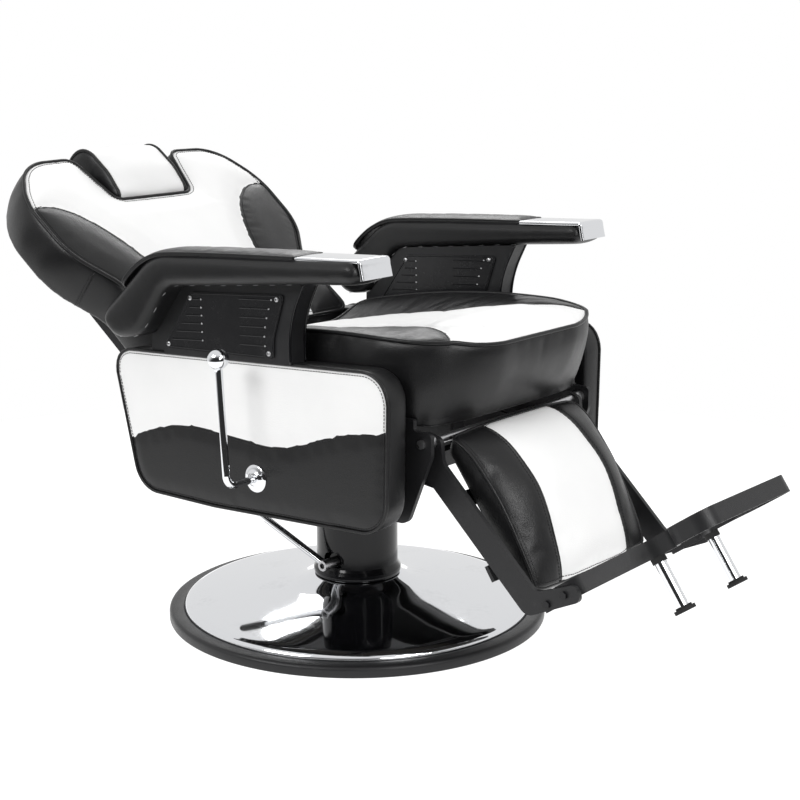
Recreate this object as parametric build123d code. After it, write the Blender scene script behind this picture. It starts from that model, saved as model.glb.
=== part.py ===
from build123d import *
from math import cos, radians, sin
import os

# Hydraulic barber chair, in millimetres. +X is forward, towards the footrest, +Y is the
# sitter's left and +Z is up. The origin is the centre of the round base, on the floor.
# The chair is drawn fully reclined with the lift at its lowest.

# Base and pump
BASE_RADIUS = 330.0
RIM_WIDTH = 32.0
RIM_HEIGHT = 19.0
PLATE_THICKNESS = 7.0
DOME_TOP = 71.0
DOME_SHEET = 2.5
SLEEVE_RADIUS = 71.0
SLEEVE_BOTTOM = 73.0
SLEEVE_TOP = 252.0
CYLINDER_RADIUS = 45.0
RAM_RADIUS = 21.5
RAM_TOP = 300.0
RUNNING_GAP = 0.05
PUMP_AXIS = (5.0, 105.0)
PUMP_LEVER_ANGLE = 22.0
PUMP_LEVER_LENGTH = 262.0

# Seat
RAIL_INNER = 212.0
RAIL_OUTER = 220.0
BOARD_BOTTOM = 430.0
BOARD_TOP = 442.0
SEAT_HALF_WIDTH = 232.0
SEAT_REAR = -172.0
SEAT_FRONT = 382.0
PANEL_INNER = 243.0
PANEL_OUTER = 291.0
ARM_INNER = 250.0
ARM_OUTER = 333.0
LEVER_AXIS = (37.0, 307.0)
LEVER_Y = 356.0

# Backrest: the face is a plane that rises to the rear at this angle
RECLINE_ANGLE = 37.9
BACK_ORIGIN = (-487.0, 695.2)
BACK_THICKNESS = 90.0
BACK_HINGE = (-200.0, 445.0)
BACK_CRANK = 58.0
BACK_CRANK_ANGLE = 22.0
BACK_PLATE_INNER = 196.0
BACK_PLATE_OUTER = 202.0

# Legrest and footrest
LEG_HINGE = (318.0, 394.0)
LEG_CRANK = 76.5
LEG_CRANK_ANGLE = 16.5
LEG_BAR_INNER = 186.0
LEG_BAR_OUTER = 194.0
FOOTREST_ANGLE = 35.0
FOOTREST_ORIGIN = (651.0, 248.5)
HOOP_HEIGHT = 28.0
HOOP_THICKNESS = 6.0

LINK_Y = 177.0
PIN_RADIUS = 6.0
SPRING_Y = 120.0
LOW = (Align.CENTER, Align.CENTER, Align.MIN)


def plate(outline, y_low, y_high, radius=0.0):
    """A piece cut to a side-view outline of (x, z) points, from y_low to y_high."""
    points = [(x, y_low, z) for x, z in outline]
    edge = FilletPolyline(*points, radius=radius, close=True)
    return extrude(make_face(edge), amount=y_high - y_low, dir=(0, 1, 0))


def rod(start, end, radius):
    """A round bar between two points."""
    run = Vector(end) - Vector(start)
    return Plane(origin=start, z_dir=run) * Cylinder(radius, run.length, align=LOW)


def tube(start, end, outer, inner):
    """A round tube between two points."""
    return rod(start, end, outer) - rod(start, end, inner)


def cross_rod(centre, y_low, y_high, radius):
    """A round bar along Y through a side-view point."""
    return rod((centre[0], y_low, centre[1]), (centre[0], y_high, centre[1]), radius)


def hex_head(start, end, across):
    """A hexagonal head or nut between two points."""
    run = Vector(end) - Vector(start)
    flat = RegularPolygon(across / 2, 6, major_radius=False)
    return extrude(Plane(origin=start, z_dir=run) * flat, amount=run.length)


def turned(profile):
    """A piece turned about the vertical axis from (radius, height) points."""
    face = make_face(Polyline(*[(r, 0, z) for r, z in profile], close=True))
    return revolve(face, Axis.Z, 360)


def left_of(part):
    """The mirror copy on the sitter's left of a piece made on the right."""
    return mirror(part, Plane.XZ)


def pair(part):
    """The piece and its mirror copy, as two separate solids."""
    return Compound([*part.solids(), *left_of(part).solids()])


def back_point(along, out):
    """Side-view point at a distance up the backrest's face and a distance out of it."""
    angle = radians(RECLINE_ANGLE)
    x = BACK_ORIGIN[0] - along * cos(angle) + out * sin(angle)
    return x, BACK_ORIGIN[1] + along * sin(angle) + out * cos(angle)


def foot_point(along, up):
    """Side-view point at a distance along the footrest's lower edge and up from it."""
    angle = radians(FOOTREST_ANGLE)
    x = FOOTREST_ORIGIN[0] + along * cos(angle) - up * sin(angle)
    return x, FOOTREST_ORIGIN[1] + along * sin(angle) + up * cos(angle)


def crank_pin(hinge, length, angle):
    """Side-view point of a crank's pin that hangs below a hinge, leaning forward."""
    lean = radians(angle)
    return hinge[0] + length * sin(lean), hinge[1] - length * cos(lean)


def panel_top(x):
    """Height of the side panel's top edge."""
    return 495.0 + 0.055 * x


BACK_PIN = crank_pin(BACK_HINGE, BACK_CRANK, BACK_CRANK_ANGLE)
LEG_PIN = crank_pin(LEG_HINGE, LEG_CRANK, LEG_CRANK_ANGLE)
PIN_SWING_MIDDLE = BACK_HINGE[1] - BACK_CRANK * (1 + cos(radians(BACK_CRANK_ANGLE))) / 2


def make_base():
    """Floor plate, rim and polished dome."""
    inner = BASE_RADIUS - RIM_WIDTH
    floor_plate = Cylinder(inner - 1, PLATE_THICKNESS, align=LOW)
    rim = turned([(inner, 0), (BASE_RADIUS, 0), (BASE_RADIUS, RIM_HEIGHT - 5),
                  (BASE_RADIUS - 5, RIM_HEIGHT), (inner + 5, RIM_HEIGHT),
                  (inner + 5, PLATE_THICKNESS), (inner, PLATE_THICKNESS)])
    top = [(inner + 5, RIM_HEIGHT), (inner - 2, 27), (inner - 14, 32), (180, 46.5), (115, 57),
           (86, 64), (74, DOME_TOP)]
    under = [(r, z - DOME_SHEET) for r, z in reversed(top[1:])]
    skirt = [(inner + 5 - DOME_SHEET, RIM_HEIGHT - 3), (inner + 5 - DOME_SHEET, PLATE_THICKNESS),
             (inner + 5, PLATE_THICKNESS)]
    dome = turned(top + under + skirt)
    return {"base_plate": floor_plate, "base_rim": rim, "base_dome": dome}


def make_pump():
    """Pump cylinder with its foot flange, seal, bolts, cover sleeve and lever pivot."""
    x, z = PUMP_AXIS
    foot = PLATE_THICKNESS
    body = Pos(0, 0, foot) * Cylinder(CYLINDER_RADIUS, 238 - foot, align=LOW)
    body += Pos(0, 0, foot) * Cylinder(70, 10, align=LOW)
    body -= Pos(0, 0, foot + 20) * Cylinder(RAM_RADIUS + 8, 175, align=LOW)
    body -= Pos(0, 0, 190) * Cylinder(RAM_RADIUS + RUNNING_GAP, 60, align=LOW)
    body += cross_rod(PUMP_AXIS, -62, -40, 15) - Cylinder(CYLINDER_RADIUS - 4, 400)
    body += cross_rod(PUMP_AXIS, -96, -61, 5)
    seal = Pos(0, 0, 238) * Cylinder(34, 6, align=LOW)
    seal -= Pos(0, 0, 238) * Cylinder(RAM_RADIUS + RUNNING_GAP, 6, align=LOW)
    head = Pos(58, 0, foot + 10) * Cylinder(8, 6, align=LOW)
    bolts = Compound([Rot(0, 0, 60 * i + 30) * head.solid() for i in range(6)])
    sleeve = turned([(SLEEVE_RADIUS - 3, SLEEVE_BOTTOM), (SLEEVE_RADIUS + 4, SLEEVE_BOTTOM),
                     (SLEEVE_RADIUS + 5.5, SLEEVE_BOTTOM + 5), (SLEEVE_RADIUS + 5.5, SLEEVE_BOTTOM + 10),
                     (SLEEVE_RADIUS + 2, SLEEVE_BOTTOM + 16), (SLEEVE_RADIUS, SLEEVE_BOTTOM + 20),
                     (SLEEVE_RADIUS, SLEEVE_TOP), (SLEEVE_RADIUS - 3, SLEEVE_TOP)])
    slot = Plane(origin=(x, 0, z + 3), z_dir=(0, -1, 0)) * SlotCenterToCenter(16, 26, rotation=90)
    sleeve -= extrude(slot, amount=100)
    return {"pump_cylinder": body, "pump_seal": seal, "pump_bolts": bolts, "column_sleeve": sleeve}


def make_pump_lever():
    """Hub tube on the pivot, bright lever rod and rubber pedal pad."""
    x, z = PUMP_AXIS
    y = -89.0
    rise = radians(PUMP_LEVER_ANGLE)
    hub = tube((x, -99, z), (x, -64, z), 9.25, 5 + RUNNING_GAP)
    reach = [(x - d * cos(rise), y, z + d * sin(rise)) for d in (8.5, PUMP_LEVER_LENGTH)]
    lever = rod(reach[0], reach[1], 6.5) - cross_rod(PUMP_AXIS, -110, -60, 9.25)
    pad_ends = [(x - d * cos(rise), y, z + d * sin(rise)) for d in (190, PUMP_LEVER_LENGTH + 4)]
    pad = rod(pad_ends[0], pad_ends[1], 11) - rod(reach[0], reach[1], 6.5)
    return {"pump_lever_hub": hub, "pump_lever_rod": lever, "pump_pedal_pad": pad}


def make_lift():
    """Steel ram with its shoulder, and the thrust washer that the seat turns on."""
    ram = Pos(0, 0, 42) * Cylinder(RAM_RADIUS, RAM_TOP - 42, align=LOW)
    ram += Pos(0, 0, 253) * Cylinder(33, 5, align=LOW)
    washer = Pos(0, 0, 258) * Cylinder(33, 4, align=LOW)
    washer -= Pos(0, 0, 258) * Cylinder(RAM_RADIUS, 4, align=LOW)
    return {"lift_ram": ram, "thrust_washer": washer}


def make_seat_frame():
    """Rails, cross tubes and the mounting plate that turns on the ram."""
    rail = plate([(-222, 425), (-222, 465), (-180, 465), (-180, 430), (302, 430), (302, 412),
                  (336, 412), (336, 376), (290, 262.3), (-110, 262.3), (-150, 411)],
                 -RAIL_OUTER, -RAIL_INNER, [16, 18, 5, 0, 4, 6, 8, 16, 20, 20, 10])
    rail -= cross_rod(BACK_HINGE, -300, -200, 8)
    rail -= cross_rod(LEG_HINGE, -300, -200, 7)
    mount = Pos(0, 0, 262.3) * Box(200, 180, 8, align=LOW)
    mount += Pos(0, 0, 270.3) * Cylinder(36, 34, align=LOW)
    mount -= Pos(0, 0, 262.3) * Cylinder(RAM_RADIUS + RUNNING_GAP, 39, align=LOW)
    tubes = []
    for x in (-112, 112):
        bar = Box(24, 2 * RAIL_INNER, 28, align=LOW) - Box(20, 2 * RAIL_INNER, 24)
        tubes.append((Pos(x, 0, 262.3) * bar).solid())
    bracket = plate([(124, 290.3), (130, 290.3), (130, 402), (124, 402)], SPRING_Y - 15, SPRING_Y + 15)
    spacers = [tube((x, -PANEL_INNER, z), (x, -RAIL_OUTER, z), 10, 4)
               for x, z in ((-70, 290), (-70, 400), (240, 290), (240, 400))]
    pins = cross_rod(BACK_HINGE, -RAIL_OUTER - 4, -192.7, 8)
    pins += cross_rod(BACK_HINGE, -RAIL_OUTER - 4, -RAIL_OUTER, 12) + cross_rod(BACK_HINGE, -195.7, -192.7, 12)
    axle = cross_rod(LEG_HINGE, -224, 224, 7)
    nuts = cross_rod(LEG_HINGE, -211.5, -194.5, 10) - cross_rod(LEG_HINGE, -240, -180, 7)
    return {"seat_rail_right": rail, "seat_rail_left": left_of(rail), "seat_mount_plate": mount,
            "seat_cross_tubes": Compound(tubes), "gas_spring_bracket": bracket,
            "panel_spacers": pair(Compound([s.solid() for s in spacers])),
            "back_hinge_pins": pair(pins), "leg_hinge_rod": axle, "leg_hinge_bushes": pair(nuts)}


def make_seat_cushion():
    """Plywood board and the thick seat cushion with its front roll over the board."""
    sheet = FilletPolyline((-165, -RAIL_OUTER), (305, -RAIL_OUTER), (305, RAIL_OUTER), (-165, RAIL_OUTER),
                           radius=[6, 100, 100, 6], close=True)
    board = Pos(0, 0, BOARD_BOTTOM) * extrude(make_face(sheet), amount=BOARD_TOP - BOARD_BOTTOM)
    side = plate([(SEAT_REAR, BOARD_TOP), (308, BOARD_TOP), (308, 415), (335, 415), (SEAT_FRONT, 541),
                  (250, 553), (SEAT_REAR, 516)], -SEAT_HALF_WIDTH, SEAT_HALF_WIDTH,
                 [0, 0, 0, 8, 12, 60, 20])
    w = SEAT_HALF_WIDTH
    plan = FilletPolyline((SEAT_REAR, -w), (SEAT_FRONT, -w), (SEAT_FRONT, w), (SEAT_REAR, w),
                          radius=[30, 110, 110, 30], close=True)
    cushion = side & (Pos(0, 0, 400) * extrude(make_face(plan), amount=200))
    return {"seat_board": board, "seat_cushion": cushion}


def make_side_panel():
    """Upholstered side panel, with the hole that the recline lever's shaft goes through."""
    panel = plate([(-294, panel_top(-294)), (308, panel_top(308)), (305, 261), (-60, 243), (-236, 243)],
                  -PANEL_OUTER, -PANEL_INNER, [34, 44, 48, 60, 46])
    lever_side = panel - cross_rod(LEVER_AXIS, -300, -200, 9)
    disc = cross_rod(LEVER_AXIS, -PANEL_OUTER - 4, -PANEL_OUTER, 22.5)
    disc -= cross_rod(LEVER_AXIS, -400, -200, 6 + RUNNING_GAP)
    return {"side_panel_right": lever_side, "side_panel_left": left_of(panel), "lever_escutcheon": disc}


def make_arm():
    """Arm support on the panel, vent plate, padded arm, top pad and chrome trim."""
    foot_rear, foot_front = -168.0, 117.0
    support = plate([(foot_rear, panel_top(foot_rear)), (foot_front, panel_top(foot_front)),
                     (115, 550), (127, 592), (147, 632.3), (-92, 608.5)],
                    -292, -258, [4, 0, 110, 150, 0, 4])
    web = [(-200, panel_top(-200)), (-150, panel_top(-150)), (-90, 608.5), (-123, 604.2), (-188, 518.5), (-200, 513)]
    support += plate(web, -286, -264)
    vent_outline = [(-162, 497), (84, 508), (85, 540), (108, 611), (-94, 595)]
    vent_rounds = [6, 6, 40, 6, 6]
    vents = [plate(vent_outline, -294.5, -292, vent_rounds), plate(vent_outline, -258, -255.5, vent_rounds)]
    vent = Compound([v.solid() for v in vents])
    screws = []
    for x, z in ((-98, 585), (-150, 504), (92, 602), (74, 515)):
        screws += [cross_rod((x, z), -296.5, -294.5, 4).solid(), cross_rod((x, z), -255.5, -253.5, 4).solid()]
    pad = plate([(-266, 545), (-242, 500), (-192, 520), (-128, 605), (286, 647), (280, 679),
                 (-150, 655)], -ARM_OUTER, -ARM_INNER, [18, 18, 30, 30, 6, 6, 50])
    top = plate([(-118, 656.9), (-112, 664), (158, 681), (158, 672.3)], -322, -261, [0, 4, 2, 0])
    trim = plate([(158, 672.3), (280, 679), (286, 647), (290, 653), (284, 683.5), (158, 676)],
                 -324, -254)
    return {"arm_support": support, "arm_vent_plates": vent, "arm_pad": pad, "arm_top_pad": top,
            "arm_trim": trim, "vent_screws": Compound(screws)}


def make_arms():
    """Both arms, one piece of each kind to a side."""
    pieces = {}
    for name, part in make_arm().items():
        if name in ("arm_vent_plates", "vent_screws"):
            pieces[name] = pair(part)
            continue
        pieces[name + "_right"] = part
        pieces[name + "_left"] = left_of(part)
    return pieces


def make_recline_lever():
    """Bent chrome lever on the right side, with its ball knob."""
    x, z = LEVER_AXIS
    path = FilletPolyline((x, -230, z), (x, -LEVER_Y, z), (x - 12, -LEVER_Y, 496), radius=18)
    lever = sweep(Plane(origin=path @ 0, z_dir=path % 0) * Circle(6), path=path)
    knob = Pos(x - 13, -LEVER_Y, 510) * Sphere(17)
    knob -= rod((x, -LEVER_Y, z), (x - 12, -LEVER_Y, 496), 6)
    return {"recline_lever_rod": lever, "recline_lever_knob": knob}


def make_gas_spring():
    """Locking gas spring: cylinder on the seat, rod with an eye round the crank rod."""
    z = PIN_SWING_MIDDLE
    eye_x = BACK_PIN[0]
    body = rod((-95, SPRING_Y, z), (124, SPRING_Y, z), 11)
    body -= rod((-95, SPRING_Y, z), (112, SPRING_Y, z), 4 + RUNNING_GAP)
    eye = cross_rod((eye_x, z), SPRING_Y - 6, SPRING_Y + 6, 13)
    piston = eye + rod((eye_x + 4, SPRING_Y, z), (20, SPRING_Y, z), 4)
    piston -= cross_rod((eye_x, z), SPRING_Y - 20, SPRING_Y + 20, PIN_RADIUS + 2.7)
    return {"gas_spring_cylinder": body, "gas_spring_rod": piston}


def make_backrest():
    """Backrest cushion, board, frame plates with cranks, and cross tubes."""
    face = Plane(origin=(BACK_ORIGIN[0], 0, BACK_ORIGIN[1]), x_dir=(0, 1, 0),
                 z_dir=(sin(radians(RECLINE_ANGLE)), 0, cos(radians(RECLINE_ANGLE))))
    half = [(230, -345), (228, -200), (288, -110), (292, 20), (235, 114), (122, 116), (92, 4)]
    rounds = [22, 60, 120, 120, 75, 16, 10]
    outline = half + [(-y, s) for y, s in reversed(half)]
    edge = FilletPolyline(*outline, radius=rounds + rounds[::-1], close=True)
    cushion = face * extrude(make_face(edge), amount=-BACK_THICKNESS)
    board = face * (Pos(0, -165, -BACK_THICKNESS - 12) * Box(390, 330, 12, align=LOW))
    arm = plate([back_point(*p) for p in ((-405, -45), (-405, 0), (-352, 0), (-349, -93), (-120, -93),
                                          (-120, -126), (-336, -126))], -BACK_PLATE_OUTER,
                -BACK_PLATE_INNER, [18, 18, 14, 8, 6, 6, 24])
    arm += cross_rod(BACK_PIN, -BACK_PLATE_OUTER, -BACK_PLATE_INNER, 13)
    crank = [(BACK_HINGE[0] - 16, BACK_HINGE[1] + 4), (BACK_PIN[0] - 11.5, BACK_PIN[1] - 3),
             (BACK_PIN[0] + 11.5, BACK_PIN[1] + 5), (BACK_HINGE[0] + 15, BACK_HINGE[1] + 8)]
    arm += plate(crank, -BACK_PLATE_OUTER, -BACK_PLATE_INNER)
    arm -= cross_rod(BACK_HINGE, -300, -190, 8 + RUNNING_GAP)
    arm -= cross_rod(BACK_PIN, -300, -190, PIN_RADIUS)
    tubes = [plate([back_point(*p) for p in ((s, -102), (s + 24, -102), (s + 24, -126), (s, -126))],
                   -BACK_PLATE_INNER, BACK_PLATE_INNER, 3).solid() for s in (-300, -165)]
    pin = cross_rod(BACK_PIN, -BACK_PLATE_OUTER - 4, BACK_PLATE_OUTER + 4, PIN_RADIUS)
    return {"backrest_cushion": cushion, "backrest_board": board, "backrest_plates": pair(arm),
            "backrest_cross_tubes": Compound(tubes),
            "backrest_crank_rod": pin}


def make_headrest():
    """Pillow in the backrest's notch, its flat bar and the guide behind the backrest."""
    pillow = plate([back_point(*p) for p in ((9, -66), (9, 4), (60, 15), (142, 11), (152, -66))],
                   -83, 83, [12, 12, 60, 30, 20])
    bar = plate([back_point(*p) for p in ((-130, -111), (-130, -107), (86, -107), (86, -66),
                                          (90, -66), (90, -111))], -15, 15)
    guide = plate([back_point(*p) for p in ((-60, -118), (-60, -102), (-20, -102), (-20, -118))], -24, 24)
    guide -= plate([back_point(*p) for p in ((-70, -111.3), (-70, -106.7), (-10, -106.7), (-10, -111.3))],
                   -15.3, 15.3)
    return {"headrest_pillow": pillow, "headrest_bar": bar, "headrest_guide": guide}


def make_links():
    """Flat links that carry the backrest's motion to the legrest, one to a side."""
    link = plate([(BACK_PIN[0] - 12, BACK_PIN[1] - 11), (BACK_PIN[0] - 12, BACK_PIN[1] + 11),
                  (LEG_PIN[0] + 12, LEG_PIN[1] + 11), (LEG_PIN[0] + 12, LEG_PIN[1] - 11)],
                 -LINK_Y - 3, -LINK_Y + 3, 9)
    link -= cross_rod(BACK_PIN, -200, -100, PIN_RADIUS + RUNNING_GAP)
    link -= cross_rod(LEG_PIN, -200, -100, PIN_RADIUS + 1.5)
    return {"recline_links": pair(link)}


def make_legrest():
    """Legrest bars, board, crowned cushion, cross bars and link pins."""
    bar = plate([(264, 374), (497, 152), (592, 196), (584, 221), (512, 194), (338, 362), (334, 399),
                 (306, 407)], -LEG_BAR_OUTER, -LEG_BAR_INNER, [12, 20, 10, 12, 20, 26, 10, 12])
    bar -= cross_rod(LEG_HINGE, -300, -100, 7 + RUNNING_GAP)
    pins = cross_rod(LEG_PIN, -LEG_BAR_INNER, -LINK_Y + 6, PIN_RADIUS)
    top, bottom = Vector(322, 0, 378), Vector(466, 0, 158)
    down = (bottom - top).normalized()
    behind = Vector(down.Z, 0, -down.X)
    side = plate([(322, 378), (334, 401), (390, 392), (478, 262), (499, 176), (466, 158)],
                 -170, 170, [6, 8, 90, 150, 10, 8])
    taper = make_face(Polyline((500, -167, 401), (500, 167, 401), (500, 144, 158), (500, -144, 158),
                               close=True))
    cushion = side & extrude(taper, amount=250, dir=(-1, 0, 0))

    def strip(start, length, depth, thick, half_width):
        corner = top + down * start + behind * depth
        points = [corner, corner + down * length, corner + down * length + behind * thick,
                  corner + behind * thick]
        return plate([(p.X, p.Z) for p in points], -half_width, half_width)

    board = strip(8, (bottom - top).length - 14, 0, 9, 140)
    bars = [strip(s, 26, 9, 6, LEG_BAR_INNER).solid() for s in (70, 190)]
    return {"legrest_bar_right": bar, "legrest_bar_left": left_of(bar), "link_pins": pair(pins),
            "legrest_cushion": cushion, "legrest_board": board, "legrest_cross_bars": Compound(bars)}


def make_footrest():
    """Bent flat-bar hoop bolted to the legrest's ears, with two posts on rubber feet."""
    angle = radians(FOOTREST_ANGLE)
    y_ear, y_neck, y_hoop = LEG_BAR_INNER - HOOP_THICKNESS / 2, 80, 126
    plane = Plane(origin=(FOOTREST_ORIGIN[0], 0, FOOTREST_ORIGIN[1]), x_dir=(cos(angle), 0, sin(angle)),
                  z_dir=(-sin(angle), 0, cos(angle)))
    half = [(-150, y_ear), (-84, y_ear), (2, y_neck), (46, y_neck), (72, y_hoop), (138, y_hoop)]
    rounds = [30, 30, 25, 25, 25]
    line = half + [(s, -y) for s, y in reversed(half)]
    route = [plane.from_local_coords(Vector(s, y, HOOP_HEIGHT / 2)) for s, y in line]
    path = FilletPolyline(*route, radius=rounds + rounds[::-1])
    section = Plane(origin=path @ 0, x_dir=(0, 1, 0), z_dir=path % 0) * Rectangle(HOOP_THICKNESS, HOOP_HEIGHT)
    hoop = sweep(section, path=path)

    def down_post(y, high, low, radius):
        ends = [foot_point(0, h) for h in (high, low)]
        return rod((ends[0][0], y, ends[0][1]), (ends[1][0], y, ends[1][1]), radius)

    collar = down_post(-79, 0, -9, 12)
    post = down_post(-79, -9, -80, 9.5)
    foot = down_post(-79, -80, -83, 13) + down_post(-79, -83, -89, 17)
    bolts = []
    for s in (-135, -99):
        x, z = foot_point(s, 11)
        bolt = hex_head((x, -LEG_BAR_OUTER - 4, z), (x, -LEG_BAR_OUTER, z), 11)
        bolts.append(bolt.solid())
    rubbers = Compound([collar.solid(), foot.solid()])
    return {"footrest_hoop": hoop, "footrest_posts": pair(post), "footrest_rubbers": pair(rubbers),
            "footrest_bolts": pair(Compound(bolts))}


def main():
    """Makes every piece and writes one STEP file to each."""
    os.makedirs("parts", exist_ok=True)
    makers = [make_base, make_pump, make_pump_lever, make_lift, make_seat_frame, make_seat_cushion,
              make_side_panel, make_arms, make_recline_lever, make_gas_spring, make_backrest,
              make_headrest, make_links, make_legrest, make_footrest]
    for maker in makers:
        for name, part in maker().items():
            export_step(part, f"parts/{name}.step")


main()
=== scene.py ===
"""The looks of a hydraulic barber chair: black and white leatherette over a black steel frame,
on a chromed round base. Metres, +X towards the footrest, +Y the sitter's left, +Z up."""

import math

import bmesh
import bpy
import numpy as np
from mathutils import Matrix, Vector, noise
from mathutils.bvhtree import BVHTree
from mathutils.geometry import delaunay_2d_cdt


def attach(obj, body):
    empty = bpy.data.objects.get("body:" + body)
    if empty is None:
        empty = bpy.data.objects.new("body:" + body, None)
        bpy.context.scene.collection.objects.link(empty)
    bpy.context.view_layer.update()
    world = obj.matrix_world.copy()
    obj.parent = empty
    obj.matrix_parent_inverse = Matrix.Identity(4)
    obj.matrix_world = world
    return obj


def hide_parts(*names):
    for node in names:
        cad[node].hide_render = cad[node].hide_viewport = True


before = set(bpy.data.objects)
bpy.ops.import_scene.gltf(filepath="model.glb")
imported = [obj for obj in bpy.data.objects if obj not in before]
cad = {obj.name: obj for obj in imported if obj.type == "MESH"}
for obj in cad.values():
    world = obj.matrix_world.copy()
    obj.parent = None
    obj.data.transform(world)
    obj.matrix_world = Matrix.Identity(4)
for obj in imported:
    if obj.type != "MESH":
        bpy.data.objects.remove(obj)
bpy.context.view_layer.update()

# ---------------------------------------------------------------- studio
# The chair is looked at from its right front, a little above the seat, with a long lens. The
# room is a pale floor under a white sky, with a broad lamp on each side and a low one in front.


def feed(tree, made, sockets):
    """Gives each named input of a node a value, or a link from another node's output."""
    for key, value in sockets.items():
        if isinstance(value, bpy.types.NodeSocket):
            tree.links.new(value, made.inputs[key])
        else:
            made.inputs[key].default_value = value


def node(tree, kind, sockets=None, **settings):
    """A new node in a tree, with its settings and inputs."""
    made = tree.nodes.new(kind)
    for name, value in settings.items():
        setattr(made, name, value)
    feed(tree, made, sockets or {})
    return made


def new_object(name, data):
    """An object in the scene."""
    thing = bpy.data.objects.new(name, data)
    bpy.context.scene.collection.objects.link(thing)
    return thing


def point_along(thing, place, way):
    """Puts a camera or lamp at a place, looking along a direction."""
    thing.location = place
    thing.rotation_mode = "QUATERNION"
    thing.rotation_quaternion = Vector(way).to_track_quat("-Z", "Y")


WHITE = (1, 1, 1, 1)
azimuth, elevation = math.radians(39.1244), math.radians(12.7719)
towards_camera = Vector((math.sin(azimuth) * math.cos(elevation),
                         -math.cos(azimuth) * math.cos(elevation), math.sin(elevation)))
camera_data = bpy.data.cameras.new("camera")
camera_data.lens = 78.30
camera_data.sensor_width = 36
camera = new_object("camera", camera_data)
point_along(camera, (1.9042, -2.2222, 1.0422), -towards_camera)
bpy.context.scene.camera = camera
bpy.context.scene.view_settings.view_transform = "Standard"

# The sky is bright above and beyond the chair and dim on the side of the lamps, so that chrome
# reflects white and black leather stays dark.
sky = bpy.data.worlds.new("sky")
sky.use_nodes = True
sky_tree = sky.node_tree
sky_way = node(sky_tree, "ShaderNodeTexCoord")
sky_side = node(sky_tree, "ShaderNodeVectorMath", {
    0: sky_way.outputs["Generated"], 1: (math.sin(azimuth), -math.cos(azimuth), -1.15)}, operation="DOT_PRODUCT")
sky_tone = node(sky_tree, "ShaderNodeMapRange", {
    "Value": sky_side.outputs["Value"], "From Min": -0.35, "From Max": 0.65, "To Min": 0.85, "To Max": 0.03},
    interpolation_type="SMOOTHSTEP")
sky_seen = node(sky_tree, "ShaderNodeLightPath")
sky_mix = node(sky_tree, "ShaderNodeMix", {
    "Factor": sky_seen.outputs["Is Camera Ray"], "A": sky_tone.outputs["Result"], "B": 1.0})
feed(sky_tree, sky_tree.nodes["Background"], {"Color": WHITE, "Strength": sky_mix.outputs["Result"]})
bpy.context.scene.world = sky


def softbox(name, place, aim, size, watts):
    """A rectangular studio lamp at a place, turned to a point."""
    data = bpy.data.lights.new(name, "AREA")
    data.shape, data.size, data.size_y, data.energy = "RECTANGLE", size[0], size[1], watts
    point_along(new_object(name, data), place, Vector(aim) - Vector(place))


softbox("key_lamp", (-0.6, -3.4, 2.6), (0.0, 0, 0.5), (1.8, 1.3), 68)
softbox("side_lamp", (3.4, -0.6, 2.4), (0.2, 0, 0.4), (1.2, 1.6), 55)
softbox("front_lamp", (2.9, -1.5, 1.25), (0.3, -0.1, 0.42), (0.9, 1.2), 13)
softbox("rim_lamp", (-2.2, 2.6, 2.8), (-0.2, 0, 0.6), (1.6, 1.2), 30)


def blank_material(name):
    """A new material, its node tree and its shader."""
    material = bpy.data.materials.new(name)
    material.use_nodes = True
    return material, material.node_tree, material.node_tree.nodes["Principled BSDF"]


FLOOR_RADIUS, FLOOR_SIDES = 1.7, 96
floor_turns = [math.tau * i / FLOOR_SIDES for i in range(FLOOR_SIDES)]
floor_mesh = bpy.data.meshes.new("floor")
floor_mesh.from_pydata([(FLOOR_RADIUS * math.cos(a), FLOOR_RADIUS * math.sin(a), 0) for a in floor_turns],
                       [], [range(FLOOR_SIDES)])
floor = new_object("floor", floor_mesh)
floor_paint, floor_tree, floor_shader = blank_material("floor_paint")
feed(floor_tree, floor_shader, {
    "Base Color": (0.30, 0.30, 0.30, 1), "Emission Color": WHITE, "Emission Strength": 0.93, "Roughness": 0.7,
    "Specular IOR Level": 0.15})
floor_mesh.materials.append(floor_paint)

# ---------------------------------------------------------------- round base
# A steel floor plate carries a black powder-coated rim and a spun sheet dome, chromed and
# polished. The dome's rolled edge sits in the rim, and its neck flares up round the column.


def node_group(name, kind, inputs, outputs):
    """A new node group with sockets given as name: type. Returns it and its inputs' sockets."""
    tree = bpy.data.node_groups.new(name, kind)
    for way, sockets in (("INPUT", inputs), ("OUTPUT", outputs)):
        for label, socket in sockets.items():
            tree.interface.new_socket(label, in_out=way, socket_type="NodeSocket" + socket)
    return tree, tree.nodes.new("NodeGroupInput").outputs


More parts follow.
